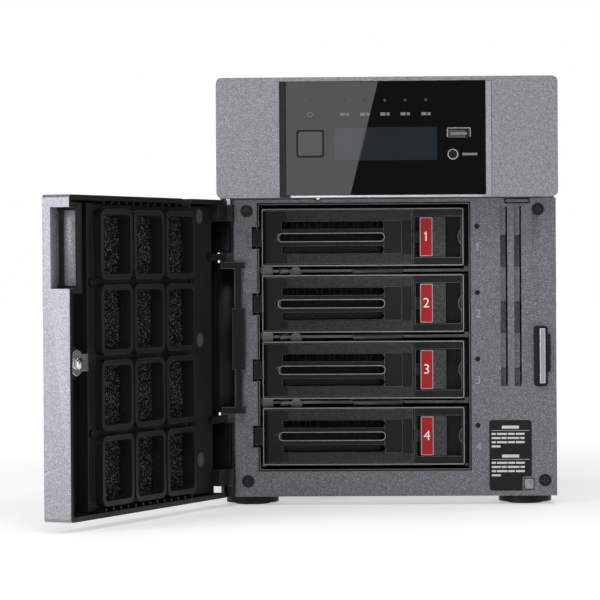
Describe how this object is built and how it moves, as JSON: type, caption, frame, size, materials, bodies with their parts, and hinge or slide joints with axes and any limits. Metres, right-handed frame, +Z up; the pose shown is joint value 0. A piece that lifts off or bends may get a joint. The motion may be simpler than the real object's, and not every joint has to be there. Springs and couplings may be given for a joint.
{
  "type": "network attached storage",
  "caption": "Desktop network storage box with a hinged front door, slide-in drive trays with swing handles, a display hood and a rear fan.",
  "frame": {"origin": "centre of the footprint on the standing surface, under the feet", "axes": "+Z up, -Y out of the front of the box, +X to the right seen from the front"},
  "size_m": [0.2422, 0.3675, 0.215],
  "materials": {
    "painted_shell": "metallic grey paint, satin, fine sparkle",
    "panel_plastic": "fine moulded grain, dark grey",
    "black_plastic": "moulded black",
    "zinc_steel": "bright zinc plated sheet",
    "bright_metal": "polished",
    "silver_trim": "fine brushed silver",
    "gloss_window": "high gloss black",
    "display_glass": "gloss, dark blue grey",
    "handle_plastic": "moulded grain, dark grey",
    "latch_plastic": "moulded, mid grey",
    "button_plastic": "satin",
    "black_screw": "black oxide",
    "circuit_board": "solder mask",
    "bare_aluminium": "cast and machined",
    "filter_foam": "open cell foam",
    "pad_rubber": "soft black rubber",
    "clear_lens": "clear light pipe",
    "inlet_plastic": "black thermoset",
    "fan_plastic": "glass filled black"
  },
  "bodies": {
    "chassis": {"case_cover": "painted_shell", "hood_shell": "painted_shell", "front_panel": "panel_plastic", "bay_liner": "black_plastic", "hinge_guard": "black_plastic", "display_carrier": "black_plastic", "striker_housing": "black_plastic", "hinge_lug": "black_plastic", "fan_frame": "black_plastic", "feet": "black_plastic", "base_pan": "zinc_steel", "drive_cage": "zinc_steel", "rear_panel": "zinc_steel", "hinge_pins": "zinc_steel", "network_sockets": "zinc_steel", "usb_sockets": "zinc_steel", "striker_plate": "bright_metal", "fan_guard": "bright_metal", "window_trim": "silver_trim", "display_window": "gloss_window", "text_display": "display_glass", "panel_screws": "black_screw", "rear_screws": "black_screw", "control_board": "circuit_board", "main_board": "circuit_board", "backplane": "circuit_board", "memory_module": "circuit_board", "processor_heatsink": "bare_aluminium", "power_supply": "bare_aluminium", "foot_pads": "pad_rubber", "light_pipes": "clear_lens", "power_inlet": "inlet_plastic"},
    "door": {"door_shell": "painted_shell", "door_inner_frame": "black_plastic", "foam_filter": "filter_foam", "door_screws": "black_screw", "lock_housing": "black_plastic"},
    "lock": {"lock_barrel": "bright_metal", "lock_cam": "bright_metal"},
    "power_button": {"power_button": "button_plastic"},
    "display_button": {"display_button": "button_plastic"},
    "function_button": {"function_button": "button_plastic"},
    "ball_plunger": {"ball_plunger": "bright_metal"},
    "fan": {"fan_rotor": "fan_plastic"},
    "tray_1": {"tray_1": "zinc_steel", "drive_1": "bare_aluminium"},
    "handle_1": {"handle_1": "handle_plastic"},
    "latch_1": {"latch_1": "latch_plastic"},
    "tray_2": {"tray_2": "zinc_steel", "drive_2": "bare_aluminium"},
    "handle_2": {"handle_2": "handle_plastic"},
    "latch_2": {"latch_2": "latch_plastic"},
    "tray_3": {"tray_3": "zinc_steel", "drive_3": "bare_aluminium"},
    "handle_3": {"handle_3": "handle_plastic"},
    "latch_3": {"latch_3": "latch_plastic"},
    "tray_4": {"tray_4": "zinc_steel", "drive_4": "bare_aluminium"},
    "handle_4": {"handle_4": "handle_plastic"},
    "latch_4": {"latch_4": "latch_plastic"}
  },
  "joints": [
    {"name": "door_hinge", "type": "hinge", "parent": "chassis", "child": "door", "pos_m": [-0.08, -0.101, 0.08], "axis": [0, 0, -1], "range_deg": [-113, 7]},
    {"name": "lock_turn", "type": "hinge", "parent": "door", "child": "lock", "pos_m": [-0.14681, -0.24048, 0.0775], "axis": [-0.9205, 0.3907, 0], "range_deg": [0, 90]},
    {"name": "tray_slide_1", "type": "slide", "parent": "chassis", "child": "tray_1", "axis": [0, -1, 0], "range_m": [0, 0.13]},
    {"name": "handle_swing_1", "type": "hinge", "parent": "tray_1", "child": "handle_1", "pos_m": [-0.0602, -0.0905, 0.1354], "axis": [0, 0, -1], "range_deg": [0, 55]},
    {"name": "latch_slide_1", "type": "slide", "parent": "tray_1", "child": "latch_1", "axis": [1, 0, 0], "range_m": [0, 0.0025], "stiffness_N_per_m": 400},
    {"name": "tray_slide_2", "type": "slide", "parent": "chassis", "child": "tray_2", "axis": [0, -1, 0], "range_m": [0, 0.13]},
    {"name": "handle_swing_2", "type": "hinge", "parent": "tray_2", "child": "handle_2", "pos_m": [-0.0602, -0.0905, 0.1019], "axis": [0, 0, -1], "range_deg": [0, 55]},
    {"name": "latch_slide_2", "type": "slide", "parent": "tray_2", "child": "latch_2", "axis": [1, 0, 0], "range_m": [0, 0.0025], "stiffness_N_per_m": 400},
    {"name": "tray_slide_3", "type": "slide", "parent": "chassis", "child": "tray_3", "axis": [0, -1, 0], "range_m": [0, 0.13]},
    {"name": "handle_swing_3", "type": "hinge", "parent": "tray_3", "child": "handle_3", "pos_m": [-0.0602, -0.0905, 0.0684], "axis": [0, 0, -1], "range_deg": [0, 55]},
    {"name": "latch_slide_3", "type": "slide", "parent": "tray_3", "child": "latch_3", "axis": [1, 0, 0], "range_m": [0, 0.0025], "stiffness_N_per_m": 400},
    {"name": "tray_slide_4", "type": "slide", "parent": "chassis", "child": "tray_4", "axis": [0, -1, 0], "range_m": [0, 0.13]},
    {"name": "handle_swing_4", "type": "hinge", "parent": "tray_4", "child": "handle_4", "pos_m": [-0.0602, -0.0905, 0.0349], "axis": [0, 0, -1], "range_deg": [0, 55]},
    {"name": "latch_slide_4", "type": "slide", "parent": "tray_4", "child": "latch_4", "axis": [1, 0, 0], "range_m": [0, 0.0025], "stiffness_N_per_m": 400},
    {"name": "power_button_press", "type": "slide", "parent": "chassis", "child": "power_button", "axis": [0, 1, 0], "range_m": [0, 0.001], "stiffness_N_per_m": 400},
    {"name": "display_button_press", "type": "slide", "parent": "chassis", "child": "display_button", "axis": [0, 1, 0], "range_m": [0, 0.001], "stiffness_N_per_m": 400},
    {"name": "function_button_press", "type": "slide", "parent": "chassis", "child": "function_button", "axis": [0, 1, 0], "range_m": [0, 0.001], "stiffness_N_per_m": 400},
    {"name": "plunger_lift", "type": "slide", "parent": "chassis", "child": "ball_plunger", "axis": [0, 0, 1], "range_m": [0, 0.001], "stiffness_N_per_m": 500},
    {"name": "fan_spin", "type": "hinge", "parent": "chassis", "child": "fan", "pos_m": [-0.012, 0.1, 0.085], "axis": [0, 1, 0], "continuous": true}
  ]
}
